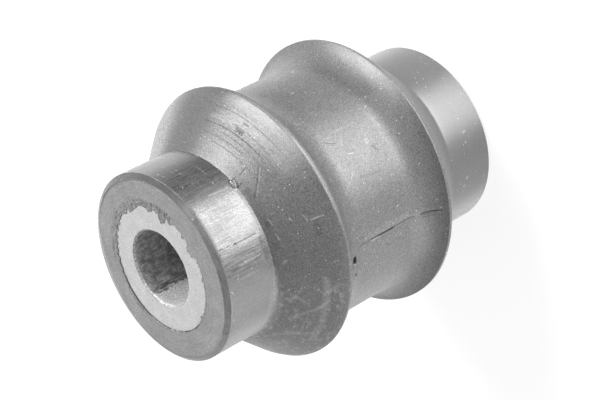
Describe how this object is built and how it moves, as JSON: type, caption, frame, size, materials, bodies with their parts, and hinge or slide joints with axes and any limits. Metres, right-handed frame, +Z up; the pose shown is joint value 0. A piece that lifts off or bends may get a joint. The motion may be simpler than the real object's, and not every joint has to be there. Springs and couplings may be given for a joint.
{
  "type": "shock absorber bushing",
  "caption": "Rubber spool bushing bonded to a thick steel sleeve, with flared flanges either side of a saddle and a plain collar at each end.",
  "frame": {"origin": "middle of the lower end face, on the plane that the bushing stands on", "axes": "+Z up the bore, from the lower end to the end seen in the picture; -Y towards the viewer; the bushing stands on its end because it would roll on its side"},
  "size_m": [0.044, 0.044, 0.0562],
  "materials": {
    "steel": "fine blasted end face, drawn tube wall in the bore",
    "rubber": "satin moulded rubber with fine mould grain, trimming marks, scuffs and a little dust"
  },
  "bodies": {
    "root": {"inner_sleeve": "steel", "rubber_body": "rubber"}
  },
  "joints": []
}
